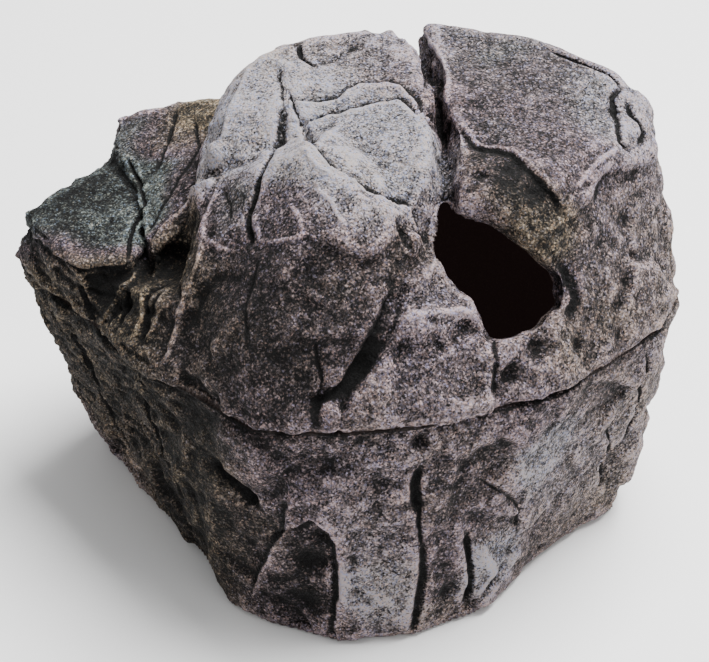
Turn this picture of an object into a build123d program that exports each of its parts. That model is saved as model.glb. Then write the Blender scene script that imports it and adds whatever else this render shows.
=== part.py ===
"""Two-piece cave rock for a pond or aquarium, cast in resin.

The lower casting is a bowl with a flat underside and four rubber pads. The upper casting is the
lid: two crags with a crevice between them, a low shelf at the left and a slanted entrance at the
front. The lid sits flat on the bowl's rim and a lip on the bowl keeps it from sliding off.

Millimetres. +Z is up and the front of the rock faces -Y. Each boulder of the rock is a stack of
rings: every ring has one point for each corner of the boulder, and flat facets join the rings.
"""
from build123d import *
import os

# Driving dimensions
SEAM_Z = 74.0              # height of the flat joint between bowl and lid
BELLY_Z = 40.0             # height of the bowl's widest ring
FLOOR_TOP_Z = 10.0         # top of the bowl's floor
PAD_PROUD = 1.0            # the pads hold the rock this far off the ground
PAD_THICKNESS = 2.4
PAD_DIAMETER = 12.0
PAD_FIT = 0.1              # radial room between a pad and its pocket
PAD_CHAMFER = 0.5
LAND_WIDTH = 5.5           # width of the flat land that the lid rests on
LIP_HEIGHT = 4.0           # the bowl's lip stands this far above the land
LIP_ROOT = 1.0             # the lip reaches this far down into the bowl's rim
LIP_CLEARANCE = 0.5        # room round and over the lip, inside the lid
WALL = 9.0                 # wall thickness at the seam
LOW_WALL = 10.5            # wall thickness at the foot of the bowl
SHOULDER_WALL = 9.0        # wall thickness at the lid's shoulder
UPRIGHT_INSIDE = 8.0       # the bowl's inner wall is upright for this far below the seam
SHELF_CEILING_Z = 83.0     # underside of the rock under the low shelf
CHAMBER_SPRING_Z = 89.0    # the hollow under the crags narrows above this height
CHAMBER_CEILING_Z = 113.0
SKIRT_TOP_Z = 80.0         # the lid's lower edge is nearly upright to this height
SKIRT_TAPER = 1.0
ENTRANCE_TILT = 35.0       # the entrance's axis rises this many degrees towards the front
TUNNEL_HALF = 40.0         # the entrance's cutter reaches this far each way along its axis
SCOOP_DEPTH = 1.0          # the scoop round the entrance starts this far out from its centre
SCOOP_REACH = 14.0
OVERSHOOT = 20.0           # cutters run this far past the faces that they open

# The corners of the rock in plan, one after another round it from the left of the front.
RIM = [(-60, -18), (-44, -31), (-27, -46), (-5, -48), (18, -45), (38, -37), (56, -29), (72, -16),
       (88, 1), (96, 17), (94, 42), (78, 66), (45, 79), (5, 84), (-38, 83), (-71, 80),
       (-88, 59), (-103, 40), (-90, 20), (-75, 2)]
FOOT = [(-47, -14), (-37, -36), (-25, -44), (-6, -51), (17, -49), (36, -40), (50, -22), (67, -5),
        (82, 6), (86, 22), (86, 42), (70, 62), (42, 74), (5, 77), (-34, 76), (-62, 72),
        (-78, 54), (-84, 42), (-72, 22), (-60, 4)]
BELLY = [(-55, -17), (-42, -35), (-27, -46), (-6, -51), (18, -48), (38, -39), (53, -27), (70, -12),
         (85, 2), (92, 19), (90, 42), (76, 65), (44, 79), (5, 83), (-37, 82), (-68, 78),
         (-85, 58), (-95, 41), (-81, 20), (-67, 2)]
SHOULDER = [(-55, -9, 92), (-42, -18, 94), (-26, -34, 90), (-5, -38, 90), (17, -34, 90),
            (36, -28, 88), (53, -21, 88), (67, -10, 88), (82, 4, 88), (90, 19, 88),
            (89, 41, 92), (74, 62, 92), (43, 76, 92), (5, 80, 94), (-37, 79, 96),
            (-68, 76, 96), (-80, 58, 94), (-99, 37, 91), (-86, 18, 88), (-71, 6, 88)]

# The crags, the front block and the two shelves, each a stack of rings, lowest first.
LEFT_CRAG = [
    [(-43.4, -30.2, 80), (-26.6, -45.1, 80), (-16, -46, 80), (-5, -47, 80), (8, -45.3, 80),
     (17.8, -44, 80), (22, -20, 80), (25, 3, 80), (27, 20, 80), (27, 40, 80), (26, 62, 80),
     (17, 81.6, 80), (5, 82.9, 80), (-25, 82.2, 80), (-45, 70, 80), (-52, 44, 80), (-55, 12, 80)],
    [(-45, -12, 96), (-31, -32, 99), (-16, -37, 100), (-4, -37, 100), (10, -31, 100), (19, -26, 98),
     (22, -14, 98), (25, 3, 98), (27, 20, 98), (27, 40, 98), (26, 62, 98), (16, 81, 98),
     (-3, 82, 98), (-24, 80, 98), (-42, 64, 98), (-47, 42, 98), (-48, 16, 98)],
    [(-41, 0, 111), (-27, -13, 114), (-15, -22, 119), (-3, -24, 120), (9, -22, 118), (17, -18, 113),
     (20, -8, 115), (24, 2, 118), (25, 18, 118), (24, 40, 119), (22, 60, 122), (14, 77, 127),
     (-3, 78, 126), (-23, 72, 124), (-38, 58, 122), (-42, 40, 120), (-43, 18, 114)],
    [(-36, 15, 118), (-25, 4, 126), (-13, 1, 132), (-6, -8, 130), (3, -13, 127), (12, -14, 123),
     (17, -8, 120), (20, 3, 126), (21, 18, 130), (20, 40, 133), (17, 60, 136), (12, 71, 137),
     (-2, 68, 136), (-20, 60, 136), (-32, 50, 134), (-37, 32, 130), (-39, 20, 123)],
]
RIGHT_CRAG = [
    [(22, -42.4, 80), (30, -39.2, 80), (37.6, -36.1, 80), (55.5, -28.1, 80), (71.3, -15.3, 80),
     (87.2, 1.6, 80), (95, 17.2, 80), (93, 41.7, 80), (77.4, 65.1, 80), (44.8, 78, 80),
     (22, 81, 80), (22, 60, 80), (22, 32, 80), (22, 12, 80)],
    [(25, -25, 95), (32, -25, 95), (44, -24, 95), (56, -18, 95), (70, -4, 95), (83, 12, 95),
     (93, 26, 94), (92, 44, 96), (79, 63, 98), (50, 76, 98), (19, 80, 98), (20, 60, 98),
     (23, 32, 98), (23, 13, 98)],
    [(27, -4, 121), (34, -7, 123), (45, -7, 124), (55, -3, 123), (67, 9, 121), (80, 23, 119),
     (88, 33, 117), (89, 45, 121), (79, 57, 128), (52, 72, 131), (18, 76, 131), (21, 58, 121),
     (25, 32, 118), (25, 14, 117)],
    [(29, 3, 126), (36, 0, 127), (46, 0, 127), (55, 5, 126), (66, 16, 125), (78, 29, 124),
     (84, 38, 124), (84, 46, 127), (75, 54, 131), (55, 63, 135), (21.5, 72, 138), (25, 54, 135),
     (27, 32, 132), (28, 16, 129)],
]
FRONT_BLOCK = [
    [(2, -46, 76), (16, -44, 76), (34, -37, 76), (36, -26, 82), (22, -14, 84), (2, -20, 84)],
    [(9, -31, 101), (20, -29, 101), (32, -26, 97), (35, -23, 96), (21, -11, 107), (10, -16, 108)],
]
LOW_SHELF = [
    [(-101, 38, 80), (-88, 52, 80), (-74, 62, 80), (-60, 36, 80), (-62, 8, 80), (-78, 6, 80),
     (-88, 18, 80)],
    [(-100, 36, 93), (-86, 47, 96), (-74, 59, 98), (-62, 36, 96), (-63, 9, 93), (-78, 8, 91),
     (-88, 18, 93)],
]
HIGH_SHELF = [
    [(-76, 62, 82), (-76, 76, 82), (-69, 79, 82), (-54, 81, 82), (-36, 76, 82), (-36, 50, 82),
     (-40, 18, 82), (-56, 4, 82), (-62, 36, 82)],
    [(-75, 61, 103), (-75, 74, 105), (-69, 78, 105), (-55, 79, 108), (-40, 72, 112),
     (-38, 50, 108), (-44, 22, 104), (-58, 8, 95), (-63, 37, 99)],
]
GULLY = [
    [(-8, -50, 73), (-5, -52, 73), (-2, -50, 73), (-5, -46.5, 73)],
    [(-10, -52, 84), (-3, -54, 84), (4, -48, 84), (-3, -41, 84)],
    [(3, -45, 96), (10, -46, 96), (15, -35, 96), (8, -30, 96)],
    [(10, -40, 106), (18, -40, 106), (20, -26, 106), (12, -22, 106)],
]

# The hollow under the crags, the entrance's outline and the scoop above it.
CHAMBER = [(-35, -9), (-19, -25), (4, -27), (24, -21), (44, -18), (58, -11), (73, 6), (81, 24),
           (80, 42), (68, 56), (40, 66), (4, 70), (-24, 66), (-34, 40), (-38, 12)]
CHAMBER_TOP = [(-28, 8), (-18, -5), (2, -7), (20, -3), (40, 2), (54, 6), (66, 18), (74, 30),
               (72, 40), (62, 48), (38, 56), (4, 58), (-18, 52), (-26, 34), (-28, 16)]
ENTRANCE_CENTRE = (38, -15, 104)
ENTRANCE = [(-11, 15), (-16.5, 7), (-14, 0), (-11, -4.5), (-6.5, -7), (-4, -11), (-2.5, -18.5),
            (7.5, -17), (17.5, -9), (17.5, -2.5), (9, 5.5), (-2, 13)]
SCOOP = [(-17, 26), (-23, 12), (-20, -2), (-12, -8), (-6, -10), (-3, -14), (-2, -22),
         (10, -22), (24, -12), (25, 0), (16, 14), (-1, 24)]

PAD_PLACES = {"front_left": (-14, -28), "front_right": (26, -26), "back_left": (-46, 52),
              "back_right": (58, 44)}


def at_height(outline, z):
    """The outline's points, all at height z."""
    return [(x, y, z) for x, y in outline]


def inset(outline, distance):
    """The outline moved inwards by distance; it runs anticlockwise seen from above."""
    sharpest = 0.8    # keeps the point of a sharp corner from running away
    moved = []
    for i, (x, y) in enumerate(outline):
        here = Vector(x, y)
        side_in = (here - Vector(*outline[i - 1])).normalized()
        side_out = (Vector(*outline[(i + 1) % len(outline)]) - here).normalized()
        inward = Vector(-side_in.Y - side_out.Y, side_in.X + side_out.X)
        point = here + inward * distance / max(inward.length ** 2 / 2, sharpest)
        moved.append((point.X, point.Y))
    return moved


def boulder(rings):
    """A closed solid of flat facets through a stack of rings, lowest first."""
    rings = [[Vector(*point) for point in ring] for ring in rings]
    count = len(rings[0])
    facets = []
    for low, high in zip(rings, rings[1:]):
        for i in range(count):
            j = (i + 1) % count
            facets.append((low[i], low[j], high[j]))
            facets.append((low[i], high[j], high[i]))
    for ring in (rings[0][::-1], rings[-1]):
        middle = sum(ring, Vector(0, 0, 0)) / count
        for i in range(count):
            facets.append((ring[i], ring[(i + 1) % count], middle))
    faces = [Face(Wire.make_polygon(facet, close=True)) for facet in facets]
    return Solid(Shell(faces))


def slab(outline, z_low, z_high):
    """An upright prism on the outline."""
    return boulder([at_height(outline, z_low), at_height(outline, z_high)])


def entrance_cutters():
    """The entrance's tunnel, and the scoop that widens its mouth."""
    mouth = Plane(ENTRANCE_CENTRE, x_dir=(1, 0, 0), z_dir=(0, -1, 0)).rotated((-ENTRANCE_TILT, 0, 0))

    def section(outline, distance):
        return [mouth.from_local_coords(Vector(u, v, distance)) for u, v in outline]

    tunnel = boulder([section(ENTRANCE, -TUNNEL_HALF), section(ENTRANCE, TUNNEL_HALF)])
    scoop = boulder([section(ENTRANCE, SCOOP_DEPTH), section(SCOOP, SCOOP_REACH)])
    return tunnel, scoop


def pad_blank(x, y, radius):
    """An upright disc on the ground, as thick as a pad."""
    return Pos(x, y, 0) * Cylinder(radius, PAD_THICKNESS, align=(Align.CENTER, Align.CENTER, Align.MIN))


def base_shell():
    """The bowl: rock outside, hollow inside, with the lip and the pads' pockets."""
    shell = boulder([at_height(FOOT, PAD_PROUD), at_height(BELLY, BELLY_Z), at_height(RIM, SEAM_Z)])
    shell += slab(inset(RIM, LAND_WIDTH), SEAM_Z - LIP_ROOT, SEAM_Z + LIP_HEIGHT)
    shell -= boulder([at_height(inset(FOOT, LOW_WALL), FLOOR_TOP_Z),
                      at_height(inset(BELLY, LOW_WALL), BELLY_Z),
                      at_height(inset(RIM, WALL), SEAM_Z - UPRIGHT_INSIDE),
                      at_height(inset(RIM, WALL), SEAM_Z + OVERSHOOT)])
    for x, y in PAD_PLACES.values():
        shell -= pad_blank(x, y, PAD_DIAMETER / 2 + PAD_FIT)
    return shell


def lid_shell():
    """The lid: shelves, crags and front block over a hollow, with the entrance through the front."""
    skirt_top = at_height(inset(RIM, SKIRT_TAPER), SKIRT_TOP_Z)
    rock = boulder([at_height(RIM, SEAM_Z), skirt_top, SHOULDER])
    for rings in (LEFT_CRAG, RIGHT_CRAG, FRONT_BLOCK, LOW_SHELF, HIGH_SHELF):
        rock += boulder(rings)
    rock -= boulder(GULLY)

    socket_top = SEAM_Z + LIP_HEIGHT + LIP_CLEARANCE
    inner_rim = inset(RIM, WALL)
    inner_shoulder = inset([(x, y) for x, y, z in SHOULDER], SHOULDER_WALL)
    rock -= slab(inset(RIM, LAND_WIDTH - LIP_CLEARANCE), SEAM_Z - LIP_ROOT, socket_top)
    rock -= boulder([at_height(inner_rim, SEAM_Z - OVERSHOOT), at_height(inner_rim, socket_top),
                     at_height(inner_shoulder, SHELF_CEILING_Z)])
    rock -= boulder([at_height(CHAMBER, socket_top), at_height(CHAMBER, CHAMBER_SPRING_Z),
                     at_height(CHAMBER_TOP, CHAMBER_CEILING_Z)])
    for cutter in entrance_cutters():
        rock -= cutter
    return rock


def foot_pad(x, y):
    """A round rubber pad, standing in its pocket."""
    pad = pad_blank(x, y, PAD_DIAMETER / 2)
    return chamfer(pad.faces().sort_by(Axis.Z)[0].edges(), PAD_CHAMFER)


parts = {"base_shell": base_shell(), "lid_shell": lid_shell()}
for corner, place in PAD_PLACES.items():
    parts["foot_pad_" + corner] = foot_pad(*place)

# The origin is on the ground, under the middle of the rock's bounding box.
rock_box = parts["base_shell"].bounding_box().add(parts["lid_shell"].bounding_box())
middle = rock_box.center()
os.makedirs("parts", exist_ok=True)
for name, shape in parts.items():
    placed = Pos(-middle.X, -middle.Y, 0) * shape
    export_step(placed, "parts/" + name + ".step")
    print(name, "solids", len(placed.solids()), "volume", round(placed.volume))
print("moved by", round(-middle.X, 2), round(-middle.Y, 2), "size", rock_box.size)
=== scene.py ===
import math

import bpy
import numpy as np
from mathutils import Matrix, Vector, noise
from mathutils.bvhtree import BVHTree


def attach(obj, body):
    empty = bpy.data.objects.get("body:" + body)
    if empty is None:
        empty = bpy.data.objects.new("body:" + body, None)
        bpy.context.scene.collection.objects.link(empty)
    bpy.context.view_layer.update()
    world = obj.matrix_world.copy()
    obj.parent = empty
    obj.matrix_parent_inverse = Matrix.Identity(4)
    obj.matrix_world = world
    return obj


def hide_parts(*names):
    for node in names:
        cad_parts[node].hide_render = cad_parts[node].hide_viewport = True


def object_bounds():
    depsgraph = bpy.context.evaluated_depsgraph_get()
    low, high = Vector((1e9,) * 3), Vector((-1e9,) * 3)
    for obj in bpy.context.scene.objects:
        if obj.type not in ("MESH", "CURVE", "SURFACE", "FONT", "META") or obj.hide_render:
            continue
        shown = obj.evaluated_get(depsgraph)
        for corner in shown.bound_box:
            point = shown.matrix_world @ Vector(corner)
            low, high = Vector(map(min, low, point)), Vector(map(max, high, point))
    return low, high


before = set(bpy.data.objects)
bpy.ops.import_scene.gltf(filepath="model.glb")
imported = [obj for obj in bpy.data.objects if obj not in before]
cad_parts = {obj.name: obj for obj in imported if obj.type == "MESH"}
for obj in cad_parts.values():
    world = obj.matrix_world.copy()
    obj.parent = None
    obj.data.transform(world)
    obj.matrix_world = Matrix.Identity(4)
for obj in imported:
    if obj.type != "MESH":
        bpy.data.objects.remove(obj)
cadBox = [list(corner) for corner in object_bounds()]
mm = 0.001
print("frame loaded, box", cadBox)


def takeUp(*objects):
    # selects these objects alone and makes the last one active
    bpy.ops.object.select_all(action="DESELECT")
    for item in objects:
        item.select_set(True)
    bpy.context.view_layer.objects.active = objects[-1]


def useModifier(piece, kind, **settings):
    takeUp(piece)
    modifier = piece.modifiers.new(kind.title(), kind)
    for key, value in settings.items():
        setattr(modifier, key, value)
    bpy.ops.object.modifier_apply(modifier=modifier.name)


def copyOfNode(node, name):
    # a welded copy of a CAD node's mesh, as a new piece
    piece = bpy.data.objects.new(name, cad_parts[node].data.copy())
    bpy.context.scene.collection.objects.link(piece)
    piece.data.materials.clear()
    takeUp(piece)
    bpy.ops.object.mode_set(mode="EDIT")
    bpy.ops.mesh.select_all(action="SELECT")
    bpy.ops.mesh.remove_doubles(threshold=0.001 * mm)
    bpy.ops.mesh.normals_make_consistent(inside=False)
    bpy.ops.object.mode_set(mode="OBJECT")
    return piece


def places(piece):
    co = np.zeros(len(piece.data.vertices) * 3)
    piece.data.vertices.foreach_get("co", co)
    return co.reshape(-1, 3)


def putPlaces(piece, co):
    piece.data.vertices.foreach_set("co", co.astype(np.float32).ravel())
    piece.data.update()


def outward(piece):
    nor = np.zeros(len(piece.data.vertices) * 3)
    piece.data.vertex_normals.foreach_get("vector", nor)
    return nor.reshape(-1, 3)


def edgesOf(piece):
    pairs = np.zeros(len(piece.data.edges) * 2, np.int32)
    piece.data.edges.foreach_get("vertices", pairs)
    return pairs.reshape(-1, 2)


def averaged(values, edges, rounds):
    # each vertex takes the mean of its neighbours, over and over
    count = np.bincount(edges.ravel(), minlength=len(values)).astype(float)
    count[count == 0] = 1
    for _ in range(rounds):
        total = np.zeros_like(values)
        np.add.at(total, edges[:, 0], values[edges[:, 1]])
        np.add.at(total, edges[:, 1], values[edges[:, 0]])
        values = total / (count if values.ndim == 1 else count[:, None])
    return values


def smoothStep(low, high, x):
    t = np.clip((x - low) / (high - low), 0, 1)
    return t * t * (3 - 2 * t)


def cloud(co, size, seed, octaves=3):
    # soft noise from -1 to 1, with lumps about as wide as size
    shift = Vector((seed * 7.13, seed * 3.71, seed * 5.39))
    return np.array([noise.fractal(Vector(p) / size + shift, 0.7, 2.1, octaves) for p in co])


def nearLine(co, nor, line, reach):
    # distance across the surface to a line of points in mm, the side of it, and how far along it
    points = np.array(line, float) * mm
    distance = np.full(len(co), 1.0)
    side = np.zeros(len(co))
    along = np.zeros(len(co))
    for i, (start, end) in enumerate(zip(points[:-1], points[1:])):
        run = end - start
        t = np.clip((co - start) @ run / (run @ run), 0, 1)
        off = co - start - t[:, None] * run
        height = (off * nor).sum(1)
        flat = off - height[:, None] * nor
        d = np.linalg.norm(flat, axis=1)
        d[np.abs(height) > reach] = 1.0
        closer = d < distance
        left = (np.cross(run, flat) * nor).sum(1)
        distance[closer] = d[closer]
        side[closer] = np.sign(left[closer])
        along[closer] = (i + t[closer]) / (len(points) - 1)
    return distance, side, along


rock = {
    "voxel": 0.89 * mm,       # size of the faces
    "softening": 6,           # rounds of smoothing on the corners
    "seamHeight": 74 * mm,
    "footHeight": 1 * mm,
    "facetSize": 21 * mm,     # broken faces
    "facetTilt": 0.075,
    "facetStep": 0.42 * mm,
    "lump": 0.9 * mm,         # slow swells
    "strata": 1.3 * mm,       # layers in the walls
    "grit": 0.16 * mm,        # finest roughness in the mesh
    "lineWander": 0.5 * mm,
    "reach": 6 * mm,          # how far off the surface a drawn line may lie
    "leastHollow": 4000,      # vertices; smaller hidden patches count as outside
    "leastOutside": 20000,    # vertices; smaller open patches count as hollow
    "insideShare": 0.16,      # of the faces inside the hollow, where nobody looks closely
}

# thin cracks, in mm: points, half width, depth
lidCracks = [
    ([(-13, 43, 136), (-12, 37, 135), (-8, 33, 134)], 0.6, 1.6),
    ([(-18, 31, 134), (-18, 26, 133), (-17, 22, 132), (-17, 18, 131), (-16, 12, 130)], 0.35, 1.0),
    ([(-16, 13, 130), (-17, 8, 128), (-17, 4, 126), (-18, -1, 124)], 1.3, 2.4),
    ([(-15, 20, 131), (-13, 12, 130), (-12, 9, 129), (-11, 6, 128), (-10, -5, 130)], 0.45, 1.4),
    ([(-18, -2, 124), (-21, -13, 126), (-22, -16, 123), (-23, -19, 121), (-25, -25, 116),
      (-24, -31, 113)], 0.9, 1.8),
    ([(-33, -8, 116), (-31, -17, 116), (-30, -22, 114)], 0.35, 0.5),
    ([(-65, 34, 102), (-64, 31, 101), (-61, 24, 99), (-58, 14, 98), (-61, 8, 95), (-61, 1, 94),
      (-61, -8, 92)], 0.55, 1.3),
    ([(-52, 55, 107), (-52, 50, 106), (-53, 44, 105), (-54, 36, 104), (-56, 29, 102)], 0.5, 1.1),
    ([(60, 44, 134), (72, 38, 131), (79, 35, 130), (81, 30, 128)], 0.6, 1.1),
    ([(81, 30, 128), (78, 25, 128), (78, 17, 125), (78, 6, 123), (80, 5, 121)], 0.7, 1.2),
    ([(82, 24, 126), (83, 19, 124), (86, 14, 121), (84, 9, 121)], 0.9, 1.2),
    ([(14, -44, 106), (12, -48, 100), (9, -51, 96), (6, -54, 90), (0, -58, 85), (-6, -61, 83),
      (-7, -64, 75)], 2.0, 2.4),
    ([(16, -32, 120), (18, -34, 117), (19, -36, 113)], 0.7, 1.0),
    ([(-8, 33, 134), (-4, 36, 134), (0, 39, 134), (4, 43, 135), (7, 48, 136), (10, 52, 136)], 1.6, 0.5),
    ([(-46, 50, 108), (-43, 32, 106), (-48, 19, 103), (-52, 10, 100), (-56, 1, 96)], 0.5, 0.7),
    ([(-44, -8, 105), (-48, -12, 98), (-52, -20, 90), (-54, -30, 83)], 1.2, 1.8),
    ([(-59, -13, 88), (-61, -18, 83), (-62, -22, 79)], 1.2, 2.0),
    ([(-39, -10, 110), (-42, -16, 104), (-46, -20, 97)], 0.6, 1.0),
    ([(-49, -22, 95), (-52, -27, 88), (-55, -33, 80)], 0.6, 1.0),
    ([(-64, -17, 84), (-66, -20, 78)], 0.6, 1.2),
    ([(-76, -8, 84), (-74, -11, 79), (-72, -14, 75)], 1.1, 1.4),
    ([(41, -43, 92), (41, -47, 88), (42, -54, 79)], 0.9, 0.8),
    ([(58, -29, 106), (62, -29, 99), (64, -31, 94), (61, -35, 91)], 1.8, 1.2),
    ([(-7, -55, 98), (-5, -60, 88), (-6, -63, 80)], 0.5, 0.8),
    ([(-22, -37, 111), (-25, -45, 102), (-24, -52, 94)], 0.5, 0.7),
]
# raised rims: points, half width, height
lidRims = [
    ([(-23, -26, 117), (-21, -32, 114), (-18, -35, 115), (-13, -38, 118), (-10, -38, 120),
      (-11, -32, 122), (-13, -29, 123)], 0.7, 0.5),
    ([(-6, -28, 127), (-3, -31, 126), (-1, -34, 124), (1, -38, 122)], 0.8, 0.5),
    ([(-10, -14, 131), (-7, -20, 130), (-3, -24, 129)], 0.7, 0.4),
    ([(-33, -3, 117), (-38, -17, 110), (-37, -21, 108), (-32, -26, 108), (-28, -30, 109)], 0.7, 0.5),
    ([(-37, -22, 106), (-38, -26, 101), (-41, -29, 96), (-43, -32, 92), (-46, -38, 84),
      (-47, -41, 80)], 0.9, 1.0),
    ([(-36, -4, 115), (-44, 5, 104), (-51, 0, 99), (-55, -6, 95), (-55, -20, 91), (-56, -28, 86),
      (-58, -32, 80)], 0.9, 1.2),
    ([(-42, -22, 102), (-48, -22, 93), (-50, -29, 90), (-53, -33, 84)], 0.8, 0.8),
    ([(-54, -7, 95), (-59, -9, 89), (-64, -15, 87), (-67, -17, 81), (-69, -17, 75)], 0.7, 1.0),
    ([(-83, -1, 90), (-78, -6, 89), (-75, -9, 88), (-74, -10, 82), (-73, -12, 77)], 0.7, 0.8),
    ([(18, -47, 100), (25, -45, 100), (32, -41, 98), (36, -42, 96)], 0.8, 0.4),
    ([(64, -15, 121), (68, -8, 122), (72, -3, 123), (76, 3, 122)], 0.7, 0.7),
    ([(20, 56, 136), (25, 50, 134), (28, 39, 134), (30, 29, 134), (30, 15, 131)], 1.0, 0.7),
]
# steps: points, with the low side to the left of the way they run, then the drop and how far it fades
lidSteps = [
    ([(-11, 2, 129), (-10, -7, 130), (-5, -16, 131), (-2, -21, 130), (3, -23, 128), (8, -25, 126),
      (13, -26, 124), (17, -24, 122), (22, -27, 116)], 2.2, 3.5),
    ([(-14, 16, 131), (-6, 16, 131), (-1, 18, 131), (1, 21, 131), (5, 24, 132), (13, 25, 133),
      (17, 22, 132), (20, 17, 132), (23, 9, 131)], 1.4, 5),
    ([(-11, 7, 128), (-6, 9, 130), (-4, 11, 130), (1, 12, 130), (10, 15, 131), (16, 16, 132),
      (19, 12, 131), (21, 8, 131), (26, 10, 127)], 1.5, 4),
    ([(58, -21, 121), (54, -18, 124), (50, -14, 126), (47, -8, 128), (42, -5, 127), (37, -3, 128),
      (34, 2, 129)], 1.6, 3),
    ([(-60, -8, 92), (-63, -9, 91), (-75, -9, 90), (-83, -1, 90), (-90, 12, 88), (-97, 24, 86)], 1.2, 3),
]
# dents: centre, radius, depth
lidDents = [
    ((45, -49, 83), 2.6, 1.8), ((53, -43, 87), 2.8, 2.0), ((64, -37, 83), 2.0, 1.8),
    ((52, -22, 123), 3.6, 2.6), ((45, -14, 127), 3.0, 1.4), ((46, -21, 123), 5.0, 1.2),
    ((18, 45, 136), 2.2, 1.2), ((10, 53, 136), 2.2, 1.6), ((15, -43, 108), 2.2, 1.2),
    ((8, -25, 126), 3.6, 1.6),
    ((16, -25, 123), 3.6, 1.8), ((-14, 45, 136), 2.6, 2.0), ((37, -17, 126), 2.0, 1.2),
    ((-67, -13, 85), 6.0, 2.6),
    ((-61, -19, 84), 2.6, 2.2), ((77, 20, 126), 2.6, 1.0), ((84, 31, 127), 2.6, 1.2),
    ((-72, 40, 99), 2.4, 1.6),
]
# worn corners and, with a minus, knobs: centre, radius, depth
lidWorn = [
    ((-72, 55, 104), 6.0, 4.5), ((-95, 17, 92), 4.0, 2.0), ((25, -32, 104), 2.0, -1.4),
    ((57, -39, 89), 2.0, -1.4),
    ((49, -38, 88), 2.4, -1.0),
]
baseCracks = [
    ([(-36, -53, 56), (-32, -56, 53), (-28, -59, 50), (-23, -62, 46)], 1.4, 2.2),
    ([(21, -62, 61), (20, -63, 55), (21, -64, 48)], 1.4, 2.4),
    ([(21, -64, 48), (21, -64, 43), (22, -64, 36)], 0.6, 1.4),
    ([(22, -64, 36), (23, -65, 26), (22, -65, 14), (21, -66, 2)], 1.4, 2.1),
    ([(35, -59, 34), (36, -58, 26), (37, -58, 16), (37, -58, 7)], 1.0, 1.9),
    ([(38, -56, 52), (44, -53, 46), (49, -49, 36), (50, -48, 24)], 0.45, 0.7),
    ([(77, -26, 46), (79, -22, 34), (80, -20, 18)], 0.8, 1.2),
    ([(86, -21, 70), (88, -16, 50), (85, -17, 34)], 0.9, 1.2),
    ([(-60, -27, 64), (-52, -34, 50), (-46, -40, 30)], 1.0, 1.2),
    ([(-84, 1, 62), (-74, -5, 44), (-64, -8, 26)], 1.2, 1.2),
]
baseRims = [
    ([(40, -56, 26), (43, -53, 14), (40, -57, 8)], 2.4, 1.4),
]
baseSteps = [
    ([(-26, -60, 13), (-24, -61, 21), (-20, -63, 32), (-16, -64, 40), (-15, -64, 49)], 1.3, 6),
    ([(-2, -67, 4), (-1, -67, 24), (-2, -67, 36), (-4, -67, 43), (-8, -66, 46), (-12, -65, 43)], 2.8, 7),
]
baseDents = [
    ((-6, -67, 38), 4.0, 2.6), ((-10, -66, 28), 6.0, 2.0), ((-12, -65, 14), 7.0, 2.0),
    ((21, -62, 69), 2.2, 2.6),
    ((30, -60, 14), 4.0, 1.4), ((58, -38, 60), 6.0, 1.2), ((-40, -50, 66), 7.0, 1.2),
    ((-52, -34, 20), 8.0, 1.6),
]
baseWorn = [
    ((-79, 14, 46), 3.6, -3.6), ((-74, 16, 36), 2.6, -2.0), ((-88, 12, 66), 5.0, 1.6),
    ((-4, -67, 4), 10.0, -0.8),
    ((34, -61, 3), 7.0, 1.6),
]


def broken(co, seed, size, tilt, step):
    # splits the surface into small flat faces, each a little tilted and set back
    random = np.random.default_rng(seed)
    low, high = co.min(0) - size, co.max(0) + size
    counts = np.ceil((high - low) / size).astype(int)
    grid = np.stack(np.meshgrid(*[np.arange(n) for n in counts], indexing="ij"), -1).reshape(-1, 3)
    centres = low + (grid + random.uniform(0.05, 0.95, grid.shape)) * size
    tilts = random.normal(0, tilt, centres.shape)
    setBack = random.uniform(-step, step, len(centres))
    index = np.arange(len(grid)).reshape(counts)
    cell = np.clip(((co - low) / size).astype(int), 1, counts - 2)
    nearest = np.full(len(co), 1.0)
    owner = np.zeros(len(co), int)
    for shift in np.ndindex(3, 3, 3):
        candidate = index[tuple((cell + np.array(shift) - 1).T)]
        d = np.linalg.norm((co - centres[candidate]) * (1, 1, 1.25), axis=1)
        closer = d < nearest
        nearest[closer] = d[closer]
        owner[closer] = candidate[closer]
    return ((co - centres[owner]) * tilts[owner]).sum(1) + setBack[owner]


def hullTree():
    # every CAD wall, to ask what looks outside
    verts, faces = [], []
    for node in ("base_shell", "lid_shell"):
        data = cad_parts[node].data
        offset = len(verts)
        verts += [v.co.copy() for v in data.vertices]
        faces += [[offset + i for i in polygon.vertices] for polygon in data.polygons]
    return BVHTree.FromPolygons(verts, faces)


def hiddenPart(co, nor, hulls):
    # 1 where the surface looks into the hollow, 0 on the outside of the rock
    ways = [Vector(v).normalized() for v in (
        (0, 0, 1), (1, 0, 0.6), (-1, 0, 0.6), (0, 1, 0.6), (0, -1, 0.6), (1, 0, 0.1), (-1, 0, 0.1),
        (0, 1, 0.1), (0, -1, 0.1), (0, -0.8, 0.6), (0.5, -0.7, 0.3), (-0.5, -0.7, 0.3), (0, 0, -1))]
    hidden = np.ones(len(co))
    for i, (p, n) in enumerate(zip(co, nor)):
        n = Vector(n)
        start = Vector(p) + n * 0.6 * mm
        for way in ways:
            if n.dot(way) > -0.15 and hulls.ray_cast(start, way, 0.26)[0] is None:
                hidden[i] = 0
                break
    return hidden


def largePatches(mask, edges, least):
    # leaves out the marked patches of fewer vertices than least
    joined = edges[mask[edges].all(1)]
    label = np.arange(len(mask))
    before = None
    while before is None or (label != before).any():
        before = label.copy()
        low = np.minimum(label[joined[:, 0]], label[joined[:, 1]])
        np.minimum.at(label, joined[:, 0], low)
        np.minimum.at(label, joined[:, 1], low)
        label = label[label]
    return mask & (np.bincount(label, minlength=len(mask))[label] >= least)


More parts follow.
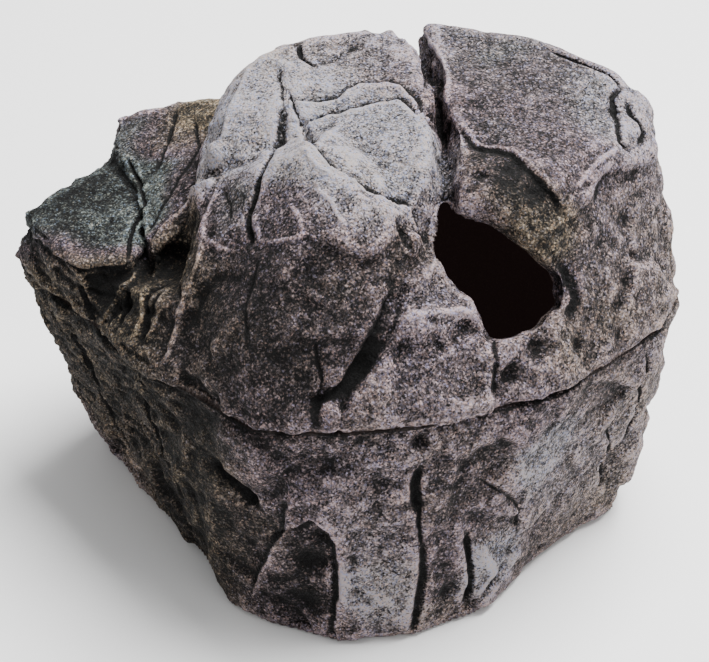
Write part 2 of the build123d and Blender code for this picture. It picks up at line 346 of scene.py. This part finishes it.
def guarded(co, nor):
    # 0 on the faces that meet the other casting, the floor or a pad
    level = smoothStep(0.6, 0.9, np.abs(nor[:, 2]))
    seam = level * (1 - smoothStep(1.2 * mm, 2.2 * mm, np.abs(co[:, 2] - rock["seamHeight"])))
    foot = level * (1 - smoothStep(2.0 * mm, 3.5 * mm, co[:, 2]))
    pocket = np.zeros(len(co))
    for corner in ("front_left", "front_right", "back_left", "back_right"):
        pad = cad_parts["foot_pad_" + corner]
        corners = [pad.matrix_world @ Vector(c) for c in pad.bound_box]
        middle = sum(corners, Vector()) / 8
        away = np.linalg.norm(co[:, :2] - (middle.x, middle.y), axis=1)
        pocket = np.maximum(pocket, (away < 8 * mm) * (co[:, 2] < 6 * mm))
    return (1 - seam) * (1 - foot) * (1 - pocket)


def keptInBox(co):
    low, high = np.array(cadBox[0]), np.array(cadBox[1])
    return np.clip(co, low + (0, 0, rock["footHeight"]), high)


def store(piece, name, values):
    layer = piece.data.attributes.get(name) or piece.data.attributes.new(name, "FLOAT", "POINT")
    layer.data.foreach_set("value", values.astype(np.float32))


def lineMarks(name, co, nor, lines, reach):
    # for the paint: side and distance to the nearest line in mm, its width and how strong it is there
    side, near = np.full(len(co), 9.0), np.full(len(co), 9.0)
    width, strength = np.ones(len(co)), np.zeros(len(co))
    for line, wide, depth in lines:
        d, leftOrRight, along = nearLine(co, nor, line, reach)
        d = d / mm
        closer = d < near
        near[closer] = d[closer]
        side[closer] = (d * leftOrRight)[closer]
        width[closer] = wide
        ends = 0.35 + 0.65 * smoothStep(0, 0.15, along) * (1 - smoothStep(0.85, 1, along))
        share = {"step": wide / 2, "rim": 1, "crack": min(1, depth / 1.5) * min(1, 0.95 / wide)}[name]
        strength[closer] = (ends * min(1, share))[closer]
    return side, near, width, strength


def carve(piece, hulls, marks, seed):
    cracks, rims, steps, dents, worn = marks
    useModifier(piece, "REMESH", mode="VOXEL", voxel_size=rock["voxel"])
    co = places(piece)
    edges = edgesOf(piece)
    nor = averaged(outward(piece), edges, 4)
    nor /= np.linalg.norm(nor, axis=1)[:, None] + 1e-12
    hidden = largePatches(hiddenPart(co, nor, hulls) > 0.5, edges, rock["leastHollow"])
    hidden = ~largePatches(~hidden, edges, rock["leastOutside"])
    hidden = averaged(hidden.astype(float), edges, 2)
    store(piece, "hollow", hidden)
    out = (1 - smoothStep(0.1, 0.6, hidden)) * guarded(co, nor)
    wall = 1 - smoothStep(0.45, 0.75, np.abs(nor[:, 2]))
    co = co + (averaged(co, edges, rock["softening"]) - co) * out[:, None]
    sway = np.stack([cloud(co, 9 * mm, seed + k, 3) for k in (1, 2, 3)], 1)
    warped = co + sway * 1.5 * mm
    drawn = co + sway * rock["lineWander"]
    calm = 0.45 + 0.55 * wall
    move = broken(warped, seed, rock["facetSize"], rock["facetTilt"], rock["facetStep"])
    move += broken(warped, seed + 40, rock["facetSize"] * 0.4, rock["facetTilt"], rock["facetStep"] * 0.5)
    move = averaged(move * calm, edges, 3)
    move += cloud(co, 38 * mm, seed + 4, 3) * rock["lump"]
    leftWall = 1 - smoothStep(-60 * mm, -35 * mm, co[:, 0])
    layers = cloud(warped * (1, 1, 5.5), 26 * mm, seed + 5, 4)
    move += (0.4 - np.abs(layers)) * rock["strata"] * wall * (0.25 + 1.5 * leftWall)
    stripes = cloud(warped * (1, 1, 0.28), 7 * mm, seed + 6, 3)
    move += stripes * 0.45 * mm * wall * (1 - leftWall)
    move += cloud(co, 3.2 * mm, seed + 11, 2) * rock["grit"] * (0.5 + wall)
    for line, width, depth in cracks:
        d, side, along = nearLine(drawn, nor, line, rock["reach"])
        ends = smoothStep(0, 0.12, along) * (1 - 0.7 * smoothStep(0.88, 1, along))
        move -= depth * mm * np.exp(-(d / (max(width, 0.8) * mm)) ** 2) * (0.3 + 0.7 * ends)
    for line, width, height in rims:
        d, side, along = nearLine(drawn, nor, line, rock["reach"])
        move += height * mm * np.exp(-(d / (width * mm)) ** 2)
    for line, drop, fade in steps:
        d, side, along = nearLine(drawn, nor, line, rock["reach"])
        d[d > 0.5] = 9
        move -= drop * mm * np.exp(-d / (fade * mm)) * smoothStep(-0.6 * mm, 0.6 * mm, d * side)
        move += 0.3 * drop * mm * np.exp(-(d / (1.2 * mm)) ** 2) * (side < 0)
    for centre, radius, depth in dents + worn:
        d = np.linalg.norm(drawn - np.array(centre) * mm, axis=1) / (radius * mm)
        move -= depth * mm * np.exp(-d ** 2)
    overSeam = (co[:, 2] - rock["seamHeight"]) / mm
    move -= 0.9 * mm * np.exp(-(overSeam / 0.9) ** 2) * wall
    move += 0.5 * mm * np.exp(-((overSeam - 2.6) / 1.6) ** 2) * wall
    putPlaces(piece, keptInBox(co + nor * (move * out)[:, None]))
    thinHollow(piece, hidden)
    takeUp(piece)
    bpy.ops.object.shade_smooth()


def thinHollow(piece, hidden):
    # fewer faces on the walls of the hollow
    takeUp(piece)
    data = piece.data
    data.vertices.foreach_set("select", hidden > 0.9)
    data.edges.foreach_set("select", np.zeros(len(data.edges), bool))
    data.polygons.foreach_set("select", np.zeros(len(data.polygons), bool))
    bpy.ops.object.mode_set(mode="EDIT")
    bpy.ops.mesh.select_mode(type="VERT")
    bpy.ops.mesh.decimate(ratio=rock["insideShare"])
    bpy.ops.object.mode_set(mode="OBJECT")
    triangles = sum(len(polygon.vertices) - 2 for polygon in data.polygons)
    print(piece.name, "triangles", triangles)


def markSurface(piece, marks, seed):
    # what the paint follows: raised and sunken places, the hollow, and the drawn lines
    cracks, rims, steps, dents, worn = marks
    co = places(piece)
    edges = edgesOf(piece)
    nor = outward(piece)
    broad = averaged(nor, edges, 4)
    broad /= np.linalg.norm(broad, axis=1)[:, None] + 1e-12
    near = averaged(co, edges, 8)
    far = averaged(co, edges, 40)
    store(piece, "fineShape", ((co - near) * broad).sum(1) / mm)
    store(piece, "broadShape", ((co - far) * broad).sum(1) / mm)
    sway = np.stack([cloud(co, 9 * mm, seed + k, 3) for k in (1, 2, 3)], 1)
    drawn = co + sway * rock["lineWander"]
    for name, lines in (("crack", cracks), ("rim", rims), ("step", steps)):
        side, close, width, strength = lineMarks(name, drawn, broad, lines, rock["reach"])
        store(piece, name + "Side", side)
        store(piece, name + "Near", close)
        store(piece, name + "Width", width)
        store(piece, name + "Strength", strength)
    # how deep each dent is, for painted shade in the dents
    pit = np.zeros(len(co))
    for centre, radius, depth in dents:
        d = np.linalg.norm(drawn - np.array(centre) * mm, axis=1) / (radius * mm)
        pit = np.maximum(pit, min(1, depth / 2.5) * np.exp(-d ** 2))
    store(piece, "pit", pit)
    pale, tint = painted(co, broad)
    store(piece, "paleness", pale)
    store(piece, "tint", tint)


# patches of tone, partly the stone's pale wash and partly painted light and shade on whole faces (darker
# front and left): centre and radius in mm, paleness 0 to 1, tint from -1 green through 0 to 1 tan
paleWashAndShadePatches = [
    ((7, 42, 134), 14, 0.62, 0.0), ((-24, 12, 127), 15, 0.93, 0.0), ((6, 3, 129), 13, 0.78, 0.0),
    ((16, 30, 132), 6, 0.50, 0.0), ((25, 40, 133), 6, 0.54, 0.0), ((-8, 28, 132), 9, 0.76, 0.0),
    ((2, -14, 130), 12, 0.87, 0.0), ((5, -30, 125), 9, 0.62, 0.0), ((22, -2, 127), 6, 0.76, 0.0),
    ((-12, -8, 129), 8, 0.78, 0.0), ((27, -10, 122), 5, 0.70, 0.0),
    ((-14, -30, 121), 7, 0.35, 0.0), ((-3, -44, 113), 8, 0.26, 0.2), ((16, -38, 113), 6, 0.28, 0.3),
    ((-30, -16, 115), 8, 0.36, -0.4), ((-31, 6, 122), 7, 0.70, -0.1),
    ((-20, -50, 100), 14, 0.12, 0.3), ((-34, -42, 92), 12, 0.15, 0.5), ((-28, -56, 82), 12, 0.14, 0.3),
    ((25, -49, 94), 9, 0.38, 0.1), ((26, -42, 101), 7, 0.50, 0.0), ((23, -58, 82), 10, 0.42, 0.1),
    ((5, -54, 94), 5, 0.14, 0.2), ((-2, -61, 80), 7, 0.28, 0.1), ((46, -46, 87), 8, 0.42, 0.1),
    ((60, -34, 88), 7, 0.36, 0.5), ((48, -20, 124), 8, 0.12, 0.7), ((42, -12, 127), 5, 0.14, 0.2),
    ((55, -27, 114), 6, 0.22, 0.9), ((32, -24, 118), 7, 0.52, 0.1),
    ((60, -29, 99), 4, 0.20, -0.2), ((40, -19, 124), 8, 0.18, 0.6), ((56, -24, 112), 7, 0.28, 0.9),
    ((30, 14, 126), 7, 0.30, 0.1), ((51, 25, 131), 18, 0.35, -0.3), ((74, 20, 127), 13, 0.67, -0.2),
    ((52, 46, 136), 14, 0.48, -0.25), ((60, -6, 124), 11, 0.37, -0.1), ((79, -14, 100), 18, 0.44, 0.3),
    ((73, -33, 80), 12, 0.38, 0.4), ((92, 10, 88), 16, 0.50, 0.3),
    ((-80, 22, 94), 14, 0.12, -1.2), ((-66, 12, 95), 10, 0.37, -1.3), ((-58, 26, 100), 9, 0.36, -1.2),
    ((-52, 42, 106), 8, 0.36, 0.6), ((-44, 50, 108), 6, 0.34, 1.5), ((-66, 46, 101), 7, 0.20, -0.8),
    ((-84, -1, 76), 12, 0.20, 1.0), ((-66, -12, 84), 8, 0.12, 1.1), ((-58, -22, 82), 9, 0.16, 1.2),
    ((-48, -14, 98), 9, 0.15, 0.9), ((-46, 20, 102), 7, 0.18, 0.2),
    ((-60, -28, 60), 16, 0.08, 1.0), ((-44, -44, 50), 14, 0.10, 0.9), ((-50, -36, 22), 16, 0.08, 0.9),
    ((-85, 6, 50), 18, 0.10, 1.0), ((-30, -58, 36), 9, 0.14, 0.6), ((-17, -64, 60), 9, 0.28, 0.2),
    ((6, -65, 60), 12, 0.43, 0.1), ((-8, -66, 34), 6, 0.20, 0.2), ((-12, -64, 14), 8, 0.20, 0.3),
    ((-21, -61, 28), 4, 0.44, 0.1), ((8, -66, 40), 8, 0.52, 0.0), ((8, -66, 20), 9, 0.70, 0.0),
    ((30, -60, 48), 10, 0.34, 0.1), ((28, -62, 22), 5, 0.28, 0.1), ((42, -55, 20), 7, 0.74, 0.0),
    ((40, -55, 40), 7, 0.42, 0.1), ((57, -44, 52), 8, 0.78, 0.0), ((50, -46, 70), 8, 0.36, 0.1),
    ((66, -36, 40), 9, 0.56, 0.2), ((82, -20, 34), 14, 0.55, 0.4), ((88, -10, 62), 12, 0.50, 0.4),
    ((-4, -66, 4), 7, 0.36, 0.2),
]


def painted(co, nor):
    # away from the patches, upward faces are paler: painted light from above, with some pale wash on tops
    facing = smoothStep(-0.2, 0.9, nor[:, 2])
    total = np.full(len(co), 0.03)
    pale = total * (0.42 + 0.12 * facing)
    tint = total * 0.3
    for centre, radius, paleness, hue in paleWashAndShadePatches:
        weight = np.exp(-(((co - np.array(centre) * mm) / (radius * mm)) ** 2).sum(1))
        total = total + weight
        pale = pale + weight * paleness
        tint = tint + weight * hue
    return pale / total, tint / total


hulls = hullTree()
lidRock = copyOfNode("lid_shell", "lidRock")
lidMarks = (lidCracks, lidRims, lidSteps, lidDents, lidWorn)
carve(lidRock, hulls, lidMarks, seed=3)
markSurface(lidRock, lidMarks, seed=3)
print("lid rock", len(lidRock.data.polygons), "faces")

baseRock = copyOfNode("base_shell", "baseRock")
baseMarks = (baseCracks, baseRims, baseSteps, baseDents, baseWorn)
carve(baseRock, hulls, baseMarks, seed=8)
markSurface(baseRock, baseMarks, seed=8)
print("base rock", len(baseRock.data.polygons), "faces")


class Value:
    # a socket that can be added, multiplied and so on in plain Python
    def __init__(self, paint, socket):
        self.paint = paint
        self.socket = socket

    def math(self, operation, first, second):
        return self.paint.node("ShaderNodeMath", {"operation": operation}, {0: first, 1: second})

    def __add__(self, other):
        return self.math("ADD", self, other)

    def __radd__(self, other):
        return self.math("ADD", other, self)

    def __mul__(self, other):
        return self.math("MULTIPLY", self, other)

    def __rmul__(self, other):
        return self.math("MULTIPLY", other, self)

    def __sub__(self, other):
        return self.math("SUBTRACT", self, other)

    def __rsub__(self, other):
        return self.math("SUBTRACT", other, self)

    def larger(self, other):
        return self.math("MAXIMUM", self, other)

    def size(self):
        return self.math("ABSOLUTE", self, 0.0)

    def between(self, low, high):
        # 0 below low, 1 above high, smooth between
        return self.paint.node("ShaderNodeMapRange", {"interpolation_type": "SMOOTHSTEP"},
                               {"Value": self, "From Min": low, "From Max": high})


class Paint:
    # one material and its nodes
    def __init__(self, name, roughness):
        self.material = bpy.data.materials.new(name)
        self.material.use_nodes = True
        self.tree = self.material.node_tree
        self.shader = self.tree.nodes["Principled BSDF"]
        self.shader.inputs["Roughness"].default_value = roughness
        self.where = self.node("ShaderNodeTexCoord", {}, {}, "Object")

    def node(self, kind, settings, sockets, output=0):
        made = self.tree.nodes.new(kind)
        for key, value in settings.items():
            if key == "stops":
                self.fillRamp(made.color_ramp, value)
            else:
                setattr(made, key, value)
        for key, value in sockets.items():
            if isinstance(value, Value):
                self.tree.links.new(value.socket, made.inputs[key])
            else:
                made.inputs[key].default_value = value
        return Value(self, made.outputs[output])

    def fillRamp(self, ramp, stops):
        while len(ramp.elements) > 1:
            ramp.elements.remove(ramp.elements[-1])
        ramp.elements[0].position = stops[0][0]
        ramp.elements[0].color = (*stops[0][1], 1)
        for position, colour in stops[1:]:
            ramp.elements.new(position).color = (*colour, 1)

    def attribute(self, name):
        return self.node("ShaderNodeAttribute", {"attribute_name": name}, {}, "Fac")

    def noise(self, size, detail=2.0, rough=0.55):
        sockets = {"Vector": self.where, "Scale": 1 / size, "Detail": detail, "Roughness": rough}
        return self.node("ShaderNodeTexNoise", {}, sockets, "Fac")

    def grains(self, size):
        cells = self.node("ShaderNodeTexVoronoi", {}, {"Vector": self.where, "Scale": 1 / size}, "Color")
        return self.parts(cells)

    def mix(self, share, low, high, blend="MIX"):
        return self.node("ShaderNodeMix", {"data_type": "RGBA", "blend_type": blend},
                         {0: share, 6: low, 7: high}, 2)

    def ramp(self, value, stops):
        return self.node("ShaderNodeValToRGB", {"stops": stops}, {"Fac": value})

    def parts(self, vector):
        made = self.tree.nodes.new("ShaderNodeSeparateXYZ")
        self.tree.links.new(vector.socket, made.inputs[0])
        return [Value(self, made.outputs[i]) for i in range(3)]

    def use(self, socket, value):
        self.tree.links.new(value.socket, self.shader.inputs[socket])


granite = {
    "grain": 0.50 * mm,
    "fineGrain": 0.34 * mm,
    "contrast": 1.08,
    "edgeWearAndHighlight": 0.42,
    "recessWashAndShade": 0.36,
    "crackShade": 0.7,
    "whitest": 0.308,
    "roughness": 0.82,
    "inside": (0.045, 0.032, 0.029, 1),
    "paintedCaveGlow": (0.0060, 0.0034, 0.0032, 1),   # painted glow, a faint emission that lights the deep hollow
}


def greys(scale):
    # from black to white in even steps to the eye
    steps = [i / 10 for i in range(11)]
    return [(step, (scale * step ** 2.2,) * 3) for step in steps]


def graniteOf(name):
    paint = Paint(name, granite["roughness"])
    coarse, hueShare, glint = paint.grains(granite["grain"])
    fine = paint.grains(granite["fineGrain"])[1]
    mottle = paint.noise(1.7 * mm, 2.0)
    patches = paint.noise(11 * mm, 4.0, 0.65)
    pale = paint.attribute("paleness")
    tint = paint.attribute("tint") + (paint.noise(26 * mm, 2.0) - 0.5) * 1.2
    fineShape = paint.attribute("fineShape")
    broadShape = paint.attribute("broadShape")
    wobble = (paint.noise(2.6 * mm, 3.0) - 0.5) * 1.4 + (paint.noise(0.7 * mm, 1.0) - 0.5) * 0.5
    # speckle
    lightSpecks = coarse.between(0.50, 1.0) * (0.30 + pale * 0.10)
    fewerOnPale = 1.0 - pale.between(0.5, 0.95) * 0.35
    darkSpecks = (1.0 - glint.between(0.04, 0.40)) * (0.06 + pale * 0.60) * fewerOnPale
    dusting = (paint.noise(0.55 * mm, 1.0) - 0.5) * (0.5 + pale * 0.5)
    speck = lightSpecks - darkSpecks + (fine - 0.5) * 0.24 + (mottle - 0.5) * 0.6 + dusting
    blotches = (paint.noise(4.5 * mm, 3.0, 0.6) - 0.5) * (0.24 + pale * 0.62)
    tone = pale - 0.015 + (patches - 0.5) * 0.50 + blotches
    # raised places paler, partly dry-brushed wear and partly painted highlight; sunken places darker,
    # partly a dark wash and partly painted shade
    raised = (fineShape + broadShape * 0.25).between(0.06, 0.40)
    sunken = (0.0 - fineShape - broadShape * 0.22).between(0.05, 0.55)
    tone = tone + raised * granite["edgeWearAndHighlight"] * (0.35 + pale * 0.7) * (0.6 + mottle * 0.8)
    # painted shade in sunken places, along with a dark wash
    tone = tone - sunken * granite["recessWashAndShade"] * (0.5 + pale * 0.6)
    # cracks: painted shade in each crack, with a pale lip beside it
    crackSide = paint.attribute("crackSide") + wobble * 0.8
    crackWidth = paint.attribute("crackWidth")
    crackGap = crackSide.size().larger(paint.attribute("crackNear") - 1.1)
    crackShare = paint.node("ShaderNodeMath", {"operation": "DIVIDE"}, {0: crackGap, 1: crackWidth})
    crackStrength = paint.attribute("crackStrength")
    crack = (1.0 - crackShare.between(0.15, 1.3)) * crackStrength
    lipOfCrack = (1.0 - (crackGap - crackWidth).between(0.2, 1.2)) * crackStrength * pale
    # rims: a painted highlight along each raised line
    rimSide = paint.attribute("rimSide") + wobble * 0.6
    rimGap = rimSide.size().larger(paint.attribute("rimNear") - 1.1) - paint.attribute("rimWidth") * 0.35
    rim = (1.0 - rimGap.between(0.0, 0.75)) * paint.attribute("rimStrength")
    # steps: painted highlight on the high side, painted shadow on the low side
    stepSide = paint.attribute("stepSide") + wobble * 0.5
    stepFar = (paint.attribute("stepNear") - 1.2).between(0.6, 3.2)
    stepNear = (1.0 - stepFar) * paint.attribute("stepStrength")
    stepShadow = stepSide.between(-0.1, 0.35) * (1.0 - stepSide.between(0.4, 2.4)) * stepNear
    stepHighlight = (1.0 - stepSide.between(-0.35, 0.0)) * stepSide.between(-2.2, -0.3) * stepNear
    # painted highlight along the rims and on the high side of steps
    ridgeHighlight = (rim * 0.38 + stepHighlight * 0.40) * (0.4 + pale * 0.75) * (0.5 + mottle)
    tone = tone + lipOfCrack * 0.14 + ridgeHighlight
    tone = tone - stepShadow * 0.50 * (0.4 + mottle * 1.2)
    # painted shade in the cracks and in the dents
    tone = tone - crack * granite["crackShade"] - paint.attribute("pit") * 0.34
    # the seam: a thin dark line, a painted shadow band below it and a paler edge above
    overSeam = (paint.parts(paint.where)[2] - rock["seamHeight"]) * 1000.0
    seam = 1.0 - (overSeam + 0.15).size().between(0.15, 0.75)
    lidEdge = overSeam.between(0.5, 0.9) * (1.0 - overSeam.between(1.2, 2.4))
    tone = tone - seam * 0.5 + lidEdge * 0.14 * mottle.between(0.4, 0.6)
    # painted shadow below the lid's lower edge
    shadowBelowSeam = overSeam.between(-5.0, -0.5) * (1.0 - overSeam.between(-0.5, 0.0))
    tone = tone - shadowBelowSeam * patches.between(0.34, 0.56) * 0.32
    tone = tone.larger(0.03) + speck * granite["contrast"] * tone.between(-0.35, 0.15)
    tone = tone.larger(0.03)
    colour = paint.ramp(tone, greys(granite["whitest"]))
    # hue of the grains and of the brushed patches
    hues = paint.ramp(hueShare, [(0.0, (0.76, 0.86, 1.30)), (0.35, (1.0, 0.97, 1.0)),
                                 (0.7, (1.05, 0.98, 0.95)), (1.0, (1.22, 0.96, 0.84))])
    colour = paint.mix(0.8, colour, hues, "MULTIPLY")
    wash = paint.mix(pale.between(0.30, 0.80), (1.22, 0.965, 1.03, 1), (1.01, 0.99, 1.05, 1))
    wash = paint.mix(tint.between(-0.2, 1.3), wash, (1.22, 1.0, 0.66, 1))
    wash = paint.mix((0.0 - tint).between(0.0, 1.0), wash, (0.86, 1.02, 0.95, 1))
    colour = paint.mix(1.0, colour, wash, "MULTIPLY")
    colour = paint.mix(paint.attribute("hollow").between(0.2, 0.9), colour, granite["inside"])
    paint.use("Base Color", colour)
    paint.use("Roughness", 0.68 + fine * 0.27)
    # painted glow: the deep hollow gets a faint brown emission, though nothing there is a lamp
    deepInside = paint.attribute("hollow").between(0.8, 1.0)
    paint.use("Emission Color", paint.mix(deepInside, (0, 0, 0, 1), granite["paintedCaveGlow"]))
    paint.shader.inputs["Emission Strength"].default_value = 1.0
    relief = coarse * 0.30 + fine * 0.2 + paint.noise(2.4 * mm, 5.0, 0.7) * 2.4
    relief = relief + paint.noise(5.5 * mm, 4.0, 0.6) * 1.7 - crack * 1.6 + rim * 0.5
    relief = relief + stepHighlight * 0.5 - paint.noise(4.5 * mm, 3.0, 0.6).between(0.52, 0.72) * 0.9
    bump = paint.node("ShaderNodeBump", {}, {"Strength": 0.85, "Distance": 0.65 * mm, "Height": relief})
    paint.use("Normal", bump)
    paint.shader.inputs["Specular IOR Level"].default_value = 0.2
    return paint.material


def padRubber():
    paint = Paint("padRubber", 0.8)
    dust = paint.noise(1.5 * mm, 3.0)
    paint.use("Base Color", paint.mix(dust, (0.02, 0.02, 0.02, 1), (0.05, 0.05, 0.048, 1)))
    bump = paint.node("ShaderNodeBump", {}, {"Strength": 0.3, "Distance": 0.1 * mm, "Height": dust})
    paint.use("Normal", bump)
    return paint.material


castStone = graniteOf("castStone")
lidRock.data.materials.append(castStone)
baseRock.data.materials.append(castStone)
rubber = padRubber()
for corner in ("front_left", "front_right", "back_left", "back_right"):
    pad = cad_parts["foot_pad_" + corner]
    for slot in pad.material_slots:
        slot.material = rubber
print("materials made")

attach(lidRock, "lid")
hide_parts("lid_shell")
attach(baseRock, "base")
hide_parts("base_shell")


studio = {
    "floorSize": 6.0,
    "floorColour": (0.92, 0.92, 0.92, 1),
    "worldStrength": 0.55,
    "keyPlace": (0.40, 0.30, 1.2),
    "keySize": 0.9,
    "keyPower": 56.0,
    "fillPlace": (0.6, -0.9, 0.7),
    "fillSize": 0.9,
    "fillPower": 3.0,
    "target": (0.0035, -0.0165, 0.074),
    "elevation": 35.0,
    "distance": 0.465,
    "lens": 82.5,
}


def plainFloor():
    bpy.ops.object.select_all(action="DESELECT")
    bpy.ops.mesh.primitive_plane_add(size=studio["floorSize"], location=(0, 0, 0))
    floor = bpy.context.active_object
    floor.name = "floor"
    paint = Paint("paleFloor", 0.9)
    paint.shader.inputs["Base Color"].default_value = studio["floorColour"]
    floor.data.materials.append(paint.material)


def softLight(name, place, size, power):
    light = bpy.data.lights.new(name, "AREA")
    light.size = size
    light.energy = power
    lamp = bpy.data.objects.new(name, light)
    bpy.context.scene.collection.objects.link(lamp)
    lamp.location = place
    aim = Vector(studio["target"]) - Vector(place)
    lamp.rotation_euler = aim.to_track_quat("-Z", "Y").to_euler()


def makeCamera():
    camera = bpy.data.objects.new("camera", bpy.data.cameras.new("camera"))
    bpy.context.scene.collection.objects.link(camera)
    tilt = math.radians(studio["elevation"])
    back = Vector((0, -math.cos(tilt), math.sin(tilt)))
    camera.location = Vector(studio["target"]) + back * studio["distance"]
    camera.rotation_euler = (math.radians(90 - studio["elevation"]), 0, 0)
    camera.data.lens = studio["lens"]
    camera.data.sensor_width = 36
    camera.data.clip_start = 0.01
    bpy.context.scene.camera = camera


def makeWorld():
    world = bpy.data.worlds.new("studio")
    bpy.context.scene.world = world
    world.use_nodes = True
    sky = world.node_tree.nodes["Background"]
    sky.inputs["Color"].default_value = (1, 1, 1, 1)
    sky.inputs["Strength"].default_value = studio["worldStrength"]


plainFloor()
softLight("keyLight", studio["keyPlace"], studio["keySize"], studio["keyPower"])
softLight("fillLight", studio["fillPlace"], studio["fillSize"], studio["fillPower"])
makeCamera()
makeWorld()
print("studio set")
